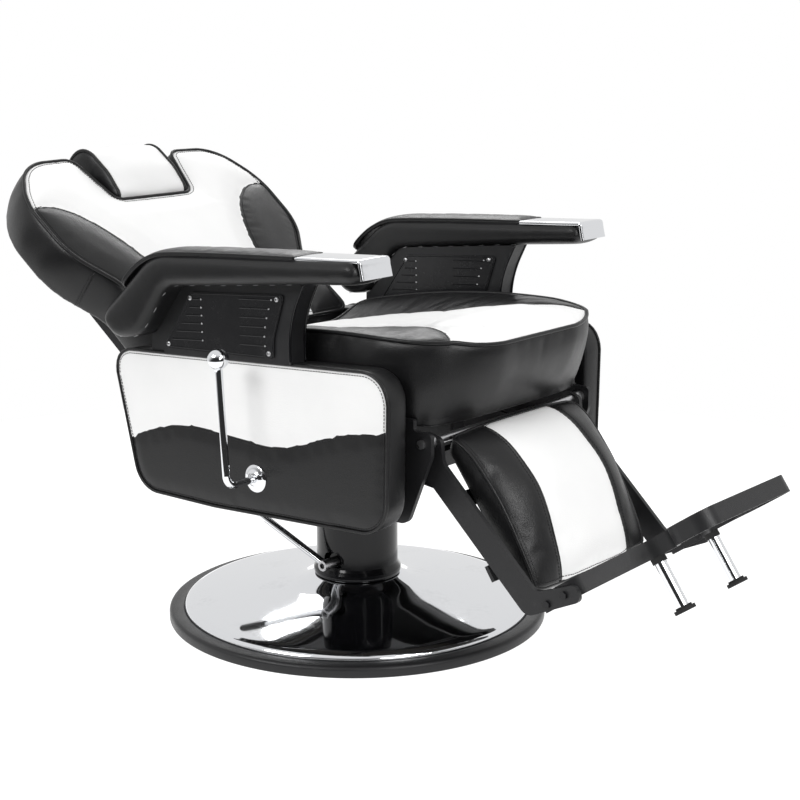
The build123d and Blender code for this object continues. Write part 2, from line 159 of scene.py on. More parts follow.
def even_wear():
    """Node group: handling marks, as a roughness between two values and a mask of dull spots."""
    tree, given = node_group(
        "even_wear", "ShaderNodeTree", {"Position": "Vector", "Size": "Float", "Least": "Float", "Most": "Float"},
        {"Roughness": "Float", "Dull": "Float"})
    broad = node(tree, "ShaderNodeTexNoise", {"Vector": given["Position"], "Scale": given["Size"], "Detail": 4})
    fine_size = node(tree, "ShaderNodeMath", {0: given["Size"], 1: 9}, operation="MULTIPLY")
    fine = node(tree, "ShaderNodeTexNoise", {
        "Vector": given["Position"], "Scale": fine_size.outputs[0], "Detail": 2})
    mix = node(tree, "ShaderNodeMix", {"Factor": 0.35, "A": broad.outputs["Fac"], "B": fine.outputs["Fac"]})
    spread = node(tree, "ShaderNodeMapRange", {
        "Value": mix.outputs["Result"], "From Min": 0.3, "From Max": 0.7, "To Min": given["Least"],
        "To Max": given["Most"]})
    dull = node(tree, "ShaderNodeMapRange", {"Value": mix.outputs["Result"], "From Min": 0.56, "From Max": 0.72})
    node(tree, "NodeGroupOutput", {"Roughness": spread.outputs["Result"], "Dull": dull.outputs["Result"]})
    return tree


wear_group = even_wear()


def marked(tree, place, wear):
    """The wear group in a material; wear is (pattern size, least and most roughness)."""
    return node(tree, "ShaderNodeGroup", {"Position": place, "Size": wear[0], "Least": wear[1], "Most": wear[2]},
                node_tree=wear_group)


def finish(name, colour, dull_colour, wear, metallic=0.0, texture=None, stretch=(1, 1, 1)):
    """A hard finish: colour with duller spots, roughness that varies, and a fine texture of
    (size, depth in metres)."""
    material, tree, shader = blank_material(name)
    place = node(tree, "ShaderNodeTexCoord")
    turn = node(tree, "ShaderNodeMapping", {"Vector": place.outputs["Object"], "Scale": stretch})
    marks = marked(tree, turn.outputs["Vector"], wear)
    tint = node(tree, "ShaderNodeMix", {"Factor": marks.outputs["Dull"], 6: (*colour, 1), 7: (*dull_colour, 1)},
                data_type="RGBA")
    feed(tree, shader, {"Metallic": metallic, "Specular IOR Level": 0.3, "Base Color": tint.outputs[2],
                        "Roughness": marks.outputs["Roughness"]})
    if texture:
        grit = node(tree, "ShaderNodeTexNoise", {
            "Vector": turn.outputs["Vector"], "Scale": texture[0], "Detail": 2})
        bump = node(tree, "ShaderNodeBump", {"Height": grit.outputs["Fac"], "Distance": texture[1]})
        feed(tree, shader, {"Normal": bump.outputs["Normal"]})
    return material


chrome = finish("polished_chrome", (0.80, 0.81, 0.83), (0.74, 0.75, 0.77), (14, 0.025, 0.075), 1.0)
powder_coat = finish("black_powder_coat", (0.014, 0.014, 0.015), (0.022, 0.022, 0.023), (35, 0.30, 0.42),
                     texture=(900, 0.0002))


def wear_finish(material, *names):
    """Gives CAD nodes their finish."""
    for name in names:
        for place in cad[name].material_slots:
            place.material = material


def make_piece(name, verts, faces, materials, body, smooth_angle=None):
    """A finished piece: mesh, materials and the body it rides on."""
    mesh = bpy.data.meshes.new(name)
    mesh.from_pydata([tuple(v) for v in verts], [], faces)
    for material in materials:
        mesh.materials.append(material)
    mesh.polygons.foreach_set("use_smooth", [True] * len(mesh.polygons))
    if smooth_angle is not None:
        mesh.set_sharp_from_angle(angle=math.radians(smooth_angle))
    piece = new_object(name, mesh)
    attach(piece, body)
    return piece


def spun(profile, count):
    """Vertices and faces of a closed (radius, height) profile turned about the column."""
    turns = [math.tau * i / count for i in range(count)]
    verts = [(r * math.cos(a), r * math.sin(a), z) for a in turns for r, z in profile]
    n = len(profile)
    faces = [(i * n + j, (i + 1) % count * n + j, (i + 1) % count * n + (j + 1) % n, i * n + (j + 1) % n)
             for i in range(count) for j in range(n)]
    area = sum(a[0] * b[1] - b[0] * a[1] for a, b in zip(profile, profile[1:] + profile[:1]))
    return verts, faces if area > 0 else [f[::-1] for f in faces]


def flowing(points, between):
    """An open smooth line through points, with some steps between each two."""
    p = np.asarray(points, float)
    p = np.vstack([2 * p[0] - p[1], p, 2 * p[-1] - p[-2]])
    line = []
    for a, b, c, d in zip(p[:-3], p[1:-2], p[2:-1], p[3:]):
        for t in np.arange(between) / between:
            line.append(0.5 * (2 * b + (c - a) * t + (2 * a - 5 * b + 4 * c - d) * t ** 2
                               + (3 * b - a - 3 * c + d) * t ** 3))
    return np.array(line + [p[-2]])


dome_top = flowing([(0.3035, 0.0192), (0.3030, 0.0225), (0.3002, 0.0263), (0.2950, 0.0290), (0.2850, 0.0318),
                    (0.2500, 0.0373), (0.2100, 0.0428), (0.1700, 0.0482), (0.1350, 0.0530), (0.1120, 0.0572),
                    (0.0970, 0.0618), (0.0860, 0.0668), (0.0790, 0.0705), (0.0740, 0.0715)], 5)
dome_under = [(0.0740, 0.0690), (0.0845, 0.0645), (0.1110, 0.0548), (0.1700, 0.0457), (0.2840, 0.0292),
              (0.2990, 0.0238), (0.3008, 0.0190), (0.3008, 0.0075), (0.3032, 0.0075)]
verts, faces = spun([tuple(p) for p in dome_top] + dome_under, 192)
dome = make_piece("polished_dome", verts, faces, [chrome], "base", 50)
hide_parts("base_dome")

rim_profile = [(0.2982, 0.0), (0.3280, 0.0), (0.3294, 0.0005), (0.3300, 0.0018), (0.3300, 0.0122),
               (0.3296, 0.0146), (0.3284, 0.0166), (0.3264, 0.0181), (0.3240, 0.0188), (0.3100, 0.0192),
               (0.3062, 0.0190), (0.3043, 0.0182), (0.3037, 0.0170), (0.3037, 0.0070), (0.2982, 0.0070)]
verts, faces = spun(rim_profile, 192)
rim = make_piece("black_rim", verts, faces, [powder_coat], "base", 60)
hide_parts("base_rim")
wear_finish(powder_coat, "base_plate")

# ---------------------------------------------------------------- pump and column
# The pump is a steel cylinder bolted to the floor plate, hidden by a black enamelled sleeve
# with a rolled foot. A zinc-plated hub on its pivot carries the chromed pedal rod.
enamel = finish("black_enamel", (0.006, 0.006, 0.007), (0.009, 0.009, 0.010), (22, 0.10, 0.17))
zinc = finish("zinc_plate", (0.52, 0.52, 0.53), (0.36, 0.36, 0.36), (120, 0.24, 0.42), 1.0, (700, 0.0001))
hard_chrome = finish("ground_hard_chrome", (0.72, 0.73, 0.75), (0.62, 0.63, 0.65), (60, 0.06, 0.14), 1.0,
                     (900, 0.00003), (1, 1, 0.05))
rubber = finish("black_rubber", (0.013, 0.013, 0.013), (0.03, 0.03, 0.029), (90, 0.62, 0.82),
                texture=(500, 0.0002))
wear_finish(enamel, "pump_cylinder", "column_sleeve")
wear_finish(zinc, "pump_bolts", "pump_lever_hub")
wear_finish(rubber, "pump_seal", "pump_pedal_pad")
wear_finish(chrome, "pump_lever_rod")

# ---------------------------------------------------------------- lift ram
# The ground and hard-chromed ram slides in the pump, and the seat turns on its bronze washer.
bronze = finish("oiled_bronze", (0.50, 0.33, 0.13), (0.27, 0.17, 0.07), (80, 0.25, 0.45), 1.0)
wear_finish(hard_chrome, "lift_ram")
wear_finish(bronze, "thrust_washer")

# ---------------------------------------------------------------- seat frame
# Black powder-coated steel rails on cross tubes and a mounting plate, with turned hinge pins
# and zinc-plated bushes. A sheet of black-stained birch plywood lies on the rails.
wear_finish(powder_coat, "seat_rail_right", "seat_rail_left", "seat_mount_plate", "seat_cross_tubes",
            "gas_spring_bracket", "panel_spacers")
wear_finish(zinc, "leg_hinge_rod", "leg_hinge_bushes")
wear_finish(hard_chrome, "back_hinge_pins")


def birch():
    """Birch plywood under a black stain, with long grain along the chair."""
    material, tree, shader = blank_material("birch_plywood")
    place = node(tree, "ShaderNodeTexCoord")
    turn = node(tree, "ShaderNodeMapping", {"Vector": place.outputs["Object"], "Scale": (3, 60, 240)})
    grain = node(tree, "ShaderNodeTexNoise", {"Vector": turn.outputs["Vector"], "Detail": 6})
    tones = node(tree, "ShaderNodeValToRGB", {"Fac": grain.outputs["Fac"]})
    for stop, position, colour in zip(tones.color_ramp.elements, (0.3, 0.7),
                                      ((0.016, 0.014, 0.012, 1), (0.036, 0.032, 0.027, 1))):
        stop.position, stop.color = position, colour
    bump = node(tree, "ShaderNodeBump", {"Height": grain.outputs["Fac"], "Distance": 0.0002})
    feed(tree, shader, {"Roughness": 0.62, "Base Color": tones.outputs["Color"], "Normal": bump.outputs["Normal"]})
    return material


plywood = birch()
wear_finish(plywood, "seat_board")

# ---------------------------------------------------------------- seat cushion
# Thick foam under leatherette: a white centre between two black wavy inserts, black piping
# round the top and a black boxing with soft creases. It is dished towards the back.


def leather_grain():
    """Node group: pebbled grain and soft creases as a height, and a slow change of tone."""
    tree, given = node_group("leather_grain", "ShaderNodeTree",
                             {"Position": "Vector", "Pebbles": "Float", "Crease": "Float"},
                             {"Height": "Float", "Tone": "Float"})
    place = given["Position"]
    pebble = node(tree, "ShaderNodeTexVoronoi", {"Vector": place, "Scale": given["Pebbles"]}, feature="SMOOTH_F1")
    crease = node(tree, "ShaderNodeTexNoise", {"Vector": place, "Scale": 55, "Detail": 5, "Distortion": 0.6})
    tone = node(tree, "ShaderNodeTexNoise", {"Vector": place, "Scale": 9, "Detail": 3})
    weigh = node(tree, "ShaderNodeMath", {0: crease.outputs["Fac"], 1: given["Crease"]}, operation="MULTIPLY")
    total = node(tree, "ShaderNodeMath", {0: pebble.outputs["Distance"], 1: weigh.outputs[0]}, operation="ADD")
    node(tree, "NodeGroupOutput", {"Height": total.outputs[0], "Tone": tone.outputs["Fac"]})
    return tree


grain_group = leather_grain()


def leatherette(name, low, high, rough, specular):
    """Leatherette between two tones and two roughnesses."""
    material, tree, shader = blank_material(name)
    place = node(tree, "ShaderNodeTexCoord").outputs["Object"]
    grain = node(tree, "ShaderNodeGroup", {"Position": place, "Pebbles": 850, "Crease": 0.55},
                 node_tree=grain_group)
    marks = marked(tree, place, (18, *rough))
    tint = node(tree, "ShaderNodeMix", {"Factor": grain.outputs["Tone"], 6: (*low, 1), 7: (*high, 1)},
                data_type="RGBA")
    bump = node(tree, "ShaderNodeBump", {"Height": grain.outputs["Height"], "Strength": 0.55, "Distance": 0.0004})
    feed(tree, shader, {"Specular IOR Level": specular, "Base Color": tint.outputs[2],
                        "Roughness": marks.outputs["Roughness"], "Normal": bump.outputs["Normal"]})
    return material


black_leather = leatherette("black_leatherette", (0.005, 0.005, 0.0055), (0.009, 0.009, 0.0095), (0.30, 0.40),
                            0.34)
white_leather = leatherette("white_leatherette", (0.80, 0.80, 0.80), (0.88, 0.88, 0.875), (0.42, 0.52), 0.4)
thread = finish("black_thread", (0.02, 0.02, 0.021), (0.035, 0.035, 0.036), (300, 0.5, 0.7))
LEATHERS = [black_leather, white_leather]


def spaced(line, pitch=None, count=None, closed=False):
    """A line's points again, evenly spaced along it."""
    p = np.asarray(line, float)
    if closed:
        p = np.vstack([p, p[:1]])
    reach = np.concatenate([[0], np.cumsum(np.linalg.norm(np.diff(p, axis=0), axis=1))])
    count = count or max(3, int(round(reach[-1] / pitch)))
    at = np.linspace(0, reach[-1], count + 1)[:-1] if closed else np.linspace(0, reach[-1], count)
    return np.stack([np.interp(at, reach, p[:, k]) for k in range(p.shape[1])], 1)


def cut(corners, radii, pitch):
    """A closed pattern outline from corner points, each rounded, with points a pitch apart."""
    p, dense = np.asarray(corners, float), []
    for i, (corner, radius) in enumerate(zip(p, radii)):
        back, ahead = p[i - 1] - corner, p[(i + 1) % len(p)] - corner
        a, b = back / np.linalg.norm(back), ahead / np.linalg.norm(ahead)
        half = math.acos(max(-1, min(1, float(a @ b)))) / 2
        run = min(radius / math.tan(half), 0.49 * np.linalg.norm(back), 0.49 * np.linalg.norm(ahead))
        for t in np.linspace(0, 1, 13):
            dense.append((1 - t) ** 2 * (corner + a * run) + 2 * t * (1 - t) * (0.75 * corner + 0.25 * (
                corner + (a + b) * run / 2)) + t ** 2 * (corner + b * run))
    return spaced(dense, pitch, closed=True)


def nearness(points, lines):
    """Each point's distance to the nearest of some lines."""
    best = np.full(len(points), 9.0)
    for line in lines:
        for a, b in zip(line[:-1], line[1:]):
            d = b - a
            t = np.clip((points - a) @ d / max(d @ d, 1e-12), 0, 1)
            best = np.minimum(best, np.linalg.norm(points - a - t[:, None] * d, axis=1))
    return best


def inside(points, loop):
    """Which points lie inside a closed loop."""
    x, y = points[:, 0], points[:, 1]
    hit = np.zeros(len(points), bool)
    for (ax, ay), (bx, by) in zip(loop, np.roll(loop, -1, 0)):
        cross = ((ay > y) != (by > y)) & (x < (bx - ax) * (y - ay) / (by - ay + 1e-15) + ax)
        hit ^= cross
    return hit


def pattern(outline, seams, pitch):
    """One cut pattern as flat triangles: points, triangles, which points are sewn, and the
    outline's points in order."""
    points, edges = [tuple(p) for p in outline], [(i, (i + 1) % len(outline)) for i in range(len(outline))]
    lines = [np.vstack([outline, outline[:1]])]
    for seam in seams:
        run = spaced(seam, pitch)
        ends = [int(np.argmin(np.linalg.norm(outline - run[k], axis=1))) for k in (0, -1)]
        middle = [q for q in run[1:-1] if np.linalg.norm(outline - q, axis=1).min() > 0.5 * pitch]
        chain = [ends[0]] + list(range(len(points), len(points) + len(middle))) + [ends[1]]
        points += [tuple(q) for q in middle]
        edges += list(zip(chain[:-1], chain[1:]))
        lines.append(np.array([points[i] for i in chain]))
    low, high = outline.min(0), outline.max(0)
    rows = []
    for j, v in enumerate(np.arange(low[1], high[1], pitch * 0.87)):
        for u in np.arange(low[0] + (j % 2) * pitch / 2, high[0], pitch):
            rows.append((u, v))
    rows = np.array(rows)
    keep = inside(rows, outline) & (nearness(rows, lines) > 0.62 * pitch)
    points += [tuple(q) for q in rows[keep]]
    flat, _, triangles, origin, _, _ = delaunay_2d_cdt([Vector(q) for q in points], edges, [], 1, 1e-7)
    flat = np.array([tuple(q) for q in flat])
    where = {old: new for new, olds in enumerate(origin) for old in olds}
    ring = [where[i] for i in range(len(outline))]
    triangles = [tuple(t) for t in triangles]
    area = sum(flat[t[0]][0] * (flat[t[1]][1] - flat[t[2]][1]) + flat[t[1]][0] * (flat[t[2]][1] - flat[t[0]][1])
               + flat[t[2]][0] * (flat[t[0]][1] - flat[t[1]][1]) for t in triangles[:50])
    if area < 0:
        triangles = [t[::-1] for t in triangles]
    return flat, triangles, nearness(flat, lines), ring, lines


def tight(distance, reach):
    """How far a stuffed cover has risen at a distance from its seam, from 0 to 1."""
    t = np.clip(distance / reach, 0, 1)
    return np.sqrt(1 - (1 - t) ** 2)


def face_outwards(mesh):
    """Turns a closed mesh's faces outwards."""
    bm = bmesh.new()
    bm.from_mesh(mesh)
    bmesh.ops.recalc_face_normals(bm, faces=bm.faces)
    bm.to_mesh(mesh)
    bm.free()


def result_of(piece):
    """The mesh that a piece's modifiers make."""
    return bpy.data.meshes.new_from_object(piece.evaluated_get(bpy.context.evaluated_depsgraph_get()))


def stuffed(name, outline, face, back, rows, body, node, seams=(), zone=None,
            pitch=0.009, puff=0.006, back_puff=0.0, reach=0.03, cap=0.005, ease=0.012,
            boxing=0, ripple=0.0, back_zone=None):
    """A sewn and stuffed piece. The pattern is mapped to the face and to the back, and the
    boxing joins them in rows of (share of the way back, how far it stands out). Pressure then
    swells the cover between its seams. Returns the piece and its seam lines on the face."""
    flat, triangles, distance, ring, lines = pattern(outline, seams, pitch)
    n, step = len(flat), 1e-4

    def out_of(surface):
        a = surface(flat + (step, 0)) - surface(flat - (step, 0))
        b = surface(flat + (0, step)) - surface(flat - (0, step))
        normal = np.cross(a, b)
        return normal / np.linalg.norm(normal, axis=1)[:, None]

    front, rear = face(flat), back(flat)
    middle_front, middle_rear = front.mean(0), rear.mean(0)
    up, down = out_of(face), out_of(back)
    outward = np.sign((up.mean(0)) @ (middle_front - middle_rear)) or 1.0
    front_points = front + up * outward * (puff * tight(distance, reach))[:, None]
    edge_only = nearness(flat, lines[:1])
    rear_points = rear - down * outward * (back_puff * tight(edge_only, reach))[:, None]
    ring_front, ring_rear = front[ring], rear[ring]
    along = np.roll(ring_front, -1, 0) - np.roll(ring_front, 1, 0)
    side = np.cross(along, up[ring] * outward)
    side /= np.linalg.norm(side, axis=1)[:, None]
    if np.mean(np.einsum("ij,ij->i", side, ring_front - middle_front)) < 0:
        side = -side
    count = len(ring)
    verts, held = [*front_points], list((distance < 1e-6).astype(float))
    levels = [list(ring)]
    for t, stand in rows[1:-1]:
        level = ring_front * (1 - t) + ring_rear * t + side * stand
        if ripple:
            for k in range(count):
                q = Vector(level[k])
                wave = noise.noise(Vector((q.x * 9, q.y * 9, q.z * 26))) + 0.6 * noise.noise(q * 31)
                level[k] += side[k] * wave * ripple * math.sin(math.pi * t)
        levels.append(list(range(len(verts), len(verts) + count)))
        verts += [*level]
        held += [0.0] * count
    first_rear = len(verts)
    verts += [*rear_points]
    held += [1.0 if not back_puff or d < 1e-6 else 0.0 for d in edge_only]
    levels.append([first_rear + i for i in ring])
    centres = flat[np.array(triangles)].mean(1)
    kinds = list(zone(centres)) if zone is not None else [boxing] * len(triangles)
    faces = list(triangles)
    for upper, lower in zip(levels[:-1], levels[1:]):
        for k in range(count):
            m = (k + 1) % count
            faces.append((upper[m], upper[k], lower[k], lower[m]))
            kinds.append(boxing)
    faces += [tuple(first_rear + i for i in t[::-1]) for t in triangles]
    kinds += list(back_zone(centres)) if back_zone is not None else [boxing] * len(triangles)
    piece = make_piece(name, verts, faces, LEATHERS, body)
    piece.data.polygons.foreach_set("material_index", [int(k) for k in kinds])
    face_outwards(piece.data)
    sewn = piece.vertex_groups.new(name="sewn")
    for i, weight in enumerate(held):
        if weight:
            sewn.add([i], weight, "REPLACE")
    cloth = piece.modifiers.new("swell", "CLOTH")
    cloth.settings.use_pressure = True
    cloth.settings.uniform_pressure_force = 4.0
    cloth.settings.vertex_group_mass = "sewn"
    cloth.settings.shrink_min = -ease
    cloth.settings.tension_stiffness = 20
    cloth.settings.compression_stiffness = 20
    cloth.settings.bending_stiffness = 2.0
    cloth.settings.quality = 5
    cloth.settings.effector_weights.gravity = 0
    cloth.collision_settings.use_collision = False
    cloth.point_cache.frame_start, cloth.point_cache.frame_end = 1, 20
    for moment in range(1, 21):
        bpy.context.scene.frame_set(moment)
    swollen = piece.evaluated_get(bpy.context.evaluated_depsgraph_get())
    moved = np.empty(len(verts) * 3, np.float32)
    swollen.data.vertices.foreach_get("co", moved)
    start = np.array([tuple(v) for v in verts])
    shift_by = moved.reshape(-1, 3) - start
    far = np.linalg.norm(shift_by, axis=1)
    print(name, "swelled by", round(float(far.max()) * 1000, 1), "mm")
    shift_by *= np.minimum(1, cap / np.maximum(far, 1e-9))[:, None]
    piece.modifiers.remove(cloth)
    piece.vertex_groups.remove(sewn)
    bpy.context.scene.frame_set(1)
    piece.data.vertices.foreach_set("co", (start + shift_by).ravel())
    rounder = piece.modifiers.new("rounder", "SUBSURF")
    rounder.levels = rounder.render_levels = 1
    done = result_of(piece)
    done.name = name
    piece.modifiers.remove(rounder)
    piece.data = done
    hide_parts(node)
    return piece, ring_front, [face(np.asarray(line)) for line in lines[1:]], side


def bead(name, loops, radius, body, closed=True, material=black_leather, sides=8):
    """Piping or a bound edge: a round cord covered in leatherette, along each of some lines."""
    verts, faces = [], []
    for loop in loops:
        p = np.asarray(loop, float)
        n = len(p)
        run = np.roll(p, -1, 0) - np.roll(p, 1, 0) if closed else np.gradient(p, axis=0)
        run /= np.linalg.norm(run, axis=1)[:, None]
        across = np.cross(run[0], (0.13, 0.21, 0.97))
        across /= np.linalg.norm(across)
        frames = []
        for k in range(n):
            across = across - run[k] * (across @ run[k])
            across /= np.linalg.norm(across)
            frames.append((across.copy(), np.cross(run[k], across)))
        twist = 0.0
        if closed:
            last = frames[-1][0] - run[0] * (frames[-1][0] @ run[0])
            twist = math.atan2(last @ frames[0][1], last @ frames[0][0])
        start = len(verts)
        for k in range(n):
            a, b = frames[k]
            for s in range(sides):
                turn = math.tau * s / sides - twist * k / n
                verts.append(p[k] + radius * (a * math.cos(turn) + b * math.sin(turn)))
        for k in range(n if closed else n - 1):
            m = (k + 1) % n
            for s in range(sides):
                t = (s + 1) % sides
                faces.append((start + k * sides + s, start + k * sides + t, start + m * sides + t,
                              start + m * sides + s))
        if not closed:
            faces.append(tuple(start + s for s in reversed(range(sides))))
            faces.append(tuple(start + (n - 1) * sides + s for s in range(sides)))
    make_piece(name, verts, faces, [material], body)


def stitch_tree():
    """Geometry nodes: lays short stitches of thread along a line, at an even pitch."""
    tree, given = node_group(
        "stitches", "GeometryNodeTree",
        {"Geometry": "Geometry", "Pitch": "Float", "Length": "Float", "Thickness": "Float", "Thread": "Material"},
        {"Geometry": "Geometry"})
    line = node(tree, "GeometryNodeMeshToCurve", {"Mesh": given["Geometry"]})
    even = node(tree, "GeometryNodeResampleCurve", {"Curve": line.outputs["Curve"], "Length": given["Pitch"]},
                mode="LENGTH")
    body = node(tree, "GeometryNodeMeshCylinder", {
        "Vertices": 6, "Depth": given["Length"], "Radius": given["Thickness"]})
    tangent = node(tree, "GeometryNodeInputTangent")
    turn = node(tree, "FunctionNodeAlignRotationToVector", {"Vector": tangent.outputs["Tangent"]})
    place = node(tree, "GeometryNodeInstanceOnPoints", {
        "Points": even.outputs["Curve"], "Instance": body.outputs["Mesh"], "Rotation": turn.outputs["Rotation"]})
    real = node(tree, "GeometryNodeRealizeInstances", {"Geometry": place.outputs["Instances"]})
    dress = dressed(tree, real.outputs["Geometry"], given["Thread"])
    node(tree, "NodeGroupOutput", {"Geometry": dress})
    return tree


def dressed(tree, geometry, material):
    """Gives a geometry a material inside a geometry nodes tree."""
    return node(tree, "GeometryNodeSetMaterial", {"Geometry": geometry, "Material": material}).outputs["Geometry"]


def joined(tree, geometries):
    """Joins geometries inside a geometry nodes tree."""
    join = node(tree, "GeometryNodeJoinGeometry")
    for geometry in geometries:
        tree.links.new(geometry, join.inputs["Geometry"])
    return join.outputs["Geometry"]


stitch_nodes = stitch_tree()


def grown(name, points, edges, tree, values, body="seat", smooth=False):
    """A piece that a geometry nodes tree makes from points and edges, kept as its plain mesh."""
    mesh = bpy.data.meshes.new(name)
    mesh.from_pydata(points, edges, [])
    piece = new_object(name, mesh)
    modifier = piece.modifiers.new(tree.name, "NODES")
    modifier.node_group = tree
    sockets = {s.name: s.identifier for s in tree.interface.items_tree if s.in_out == "INPUT"}
    for label, value in values.items():
        modifier[sockets[label]] = value
    done = result_of(piece)
    piece.modifiers.remove(modifier)
    piece.data = done
    if smooth:
        done.polygons.foreach_set("use_smooth", [True] * len(done.polygons))
    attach(piece, body)
    return piece


def laid_on(cushion, line, lift):
    """A line's points moved onto a finished cushion, and lifted off it."""
    tree = BVHTree.FromPolygons([v.co for v in cushion.data.vertices],
                                [tuple(p.vertices) for p in cushion.data.polygons])
    found = [tree.find_nearest(Vector(q)) for q in line]
    return [hit + normal * lift for hit, normal, _, _ in found]


def stitches(name, cushion, lines, body, lift=0.0004, closed=False, pitch=0.0055, share=0.66, thickness=0.0006,
             material=thread):
    """A row of stitches laid on a finished cushion, along lines that run close over it."""
    points, edges = [], []
    for line in lines:
        run = spaced(line, 0.004, closed=closed)
        first = len(points)
        points += [tuple(q) for q in laid_on(cushion, run, lift)]
        edges += [(first + i, first + i + 1) for i in range(len(run) - 1)]
        if closed:
            edges.append((first + len(run) - 1, first))
    grown(name, points, edges, stitch_nodes, {
        "Pitch": pitch, "Length": pitch * share, "Thickness": thickness, "Thread": material}, body)


def seat_edge_height(x):
    """Height of the seat's piped top edge."""
    return 0.5505 - np.where(x < 0.22, 0.30, 0.42) * (x - 0.22) ** 2


def seat_top(p):
    """The seat's top: flush at its edges, dished towards the back and crowned at the front."""
    x, y = p[:, 0], p[:, 1]
    middle = np.interp(x, [-0.20, -0.15, -0.086, 0.0, 0.08, 0.14, 0.20, 0.268, 0.32, 0.36, 0.40],
                       [0.474, 0.480, 0.491, 0.508, 0.522, 0.532, 0.544, 0.5545, 0.5565, 0.552, 0.543])
    inward = np.minimum(np.clip((0.232 - np.abs(y)) / 0.105, 0, 1), np.clip((0.385 - x) / 0.07, 0, 1))
    share = inward * inward * (3 - 2 * inward)
    edge = seat_edge_height(x)
    return np.stack([x, y, edge + (middle - edge) * share], 1)


def seat_underside(p):
    """The boxing's lower edge: narrower at the front, where the cushion rolls over the board."""
    a, b = np.clip(p[:, 0] - 0.247, 0, 1), np.clip(np.abs(p[:, 1]) - 0.097, 0, 1)
    square = 1 + 0.19 * np.sin(2 * np.arctan2(b, a)) ** 2 * np.clip((a * a + b * b) / 0.135 ** 2, 0, 1)
    x = np.where(a * b > 0, 0.247 + a * square, p[:, 0])
    y = np.where(a * b > 0, np.sign(p[:, 1]) * (0.097 + b * square), p[:, 1])
    drop = np.clip((x - 0.296) / 0.03, 0, 1)
    return np.stack([-0.172 + (x + 0.172) * 0.915, y * 0.965, 0.4428 - 0.0268 * drop * drop * (3 - 2 * drop)], 1)


def each_side(line):
    """A line of (along, across) points on the sitter's right, and its mirror on the left."""
    line = np.asarray(line, float)
    return [line * (1, -1), line]


def upright(p, y):
    """Side view points (x, z), or a pattern of them, at a distance across the chair."""
    return np.stack([p[:, 0], np.full(len(p), y), p[:, 1]], 1)


seat_outline = cut([(-0.172, -0.232), (0.382, -0.232), (0.382, 0.232), (-0.172, 0.232)],
                   [0.03, 0.135, 0.135, 0.03], 0.009)
seat_insert = flowing([(-0.172, 0.133), (-0.09, 0.131), (0.0, 0.130), (0.06, 0.124), (0.12, 0.1175), (0.175, 0.119),
                       (0.225, 0.1215), (0.262, 0.132), (0.300, 0.148), (0.332, 0.170), (0.352, 0.192)], 5)
seat_loops = [np.vstack([line, [(0.45, 0.3 * s), (-0.3, 0.3 * s)]])
              for line, s in zip(each_side(seat_insert), (-1, 1))]
seat, seat_ring, _, _ = stuffed(
    "seat_pad", seat_outline, seat_top, seat_underside,
    [(0, 0), (0.07, 0.0035), (0.2, 0.0065), (0.36, 0.008), (0.52, 0.008), (0.68, 0.006), (0.84, 0.002), (0.95, -0.003),
     (1, 0)],
    "seat", "seat_cushion", seams=each_side(seat_insert),
    zone=lambda q: 1 - (inside(q, seat_loops[0]) | inside(q, seat_loops[1])).astype(int),
    puff=0.0045, reach=0.03, cap=0.004, ease=0.006, ripple=0.0022)
bead("seat_piping", [seat_ring + (0, 0, 0.0006)], 0.0034, "seat")
stitches("seat_stitches", seat, [seat_top(seat_insert * (1, s) + (0, 0.0045 * s)) for s in (-1, 1)], "seat")

# ---------------------------------------------------------------- side panels
# Padded panels screwed to the rails through spacers: white leatherette above a wavy seam and
# black below it, in a black boxing with a piped edge. A chromed escutcheon guides the lever.
panel_outline = cut([(-0.294, 0.4788), (0.308, 0.5119), (0.305, 0.261), (-0.060, 0.243), (-0.236, 0.243)],
                    [0.034, 0.044, 0.048, 0.060, 0.046], 0.0095)
panel_wave = flowing([(-0.2562, 0.3255), (-0.230, 0.341), (-0.198, 0.353), (-0.147, 0.366),
                      (-0.098, 0.371), (-0.040, 0.369), (0.021, 0.365), (0.072, 0.364), (0.126, 0.374),
                      (0.174, 0.392), (0.221, 0.406), (0.260, 0.414), (0.3065, 0.420)], 4)
PANEL_FACE, PANEL_REAR = 0.2872, 0.2434
SIDES = (("right", -1), ("left", 1))
for side_name, s in SIDES:
    panel, panel_ring, panel_seams, panel_side = stuffed(
        "panel_pad_" + side_name, panel_outline,
        lambda p: upright(p, s * PANEL_FACE), lambda p: upright(p, s * PANEL_REAR),
        [(0, -0.0012), (0.1, 0.0008), (0.3, 0.0016), (0.6, 0.0016), (0.9, 0.0004), (1, 0)],
        "seat", "side_panel_" + side_name, seams=[panel_wave],
        zone=lambda q: (q[:, 1] > np.interp(q[:, 0], panel_wave[:, 0], panel_wave[:, 1])).astype(int),
        pitch=0.011, puff=0.0028, reach=0.022, cap=0.0006, ease=0.001)
    bead("panel_piping_" + side_name, [panel_ring + (0, s * 0.0008, 0)], 0.0026, "seat")
    stitches("panel_stitches_" + side_name, panel,
             [panel_seams[0][6:-6] - (0, 0, 0.004), panel_ring + panel_side * -0.0065], "seat")

verts, faces = spun([(0.0062, 0.0), (0.0222, 0.0), (0.0226, 0.0010), (0.0216, 0.0020), (0.0170, 0.0028),
                     (0.0120, 0.0040), (0.0108, 0.0056), (0.0100, 0.0060), (0.0062, 0.0060)], 64)
escutcheon = make_piece("lever_collar", [(0.037 + x, -0.2908 - z, 0.307 + y) for x, y, z in verts],
                        faces, [chrome], "seat", 40)
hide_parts("lever_escutcheon")

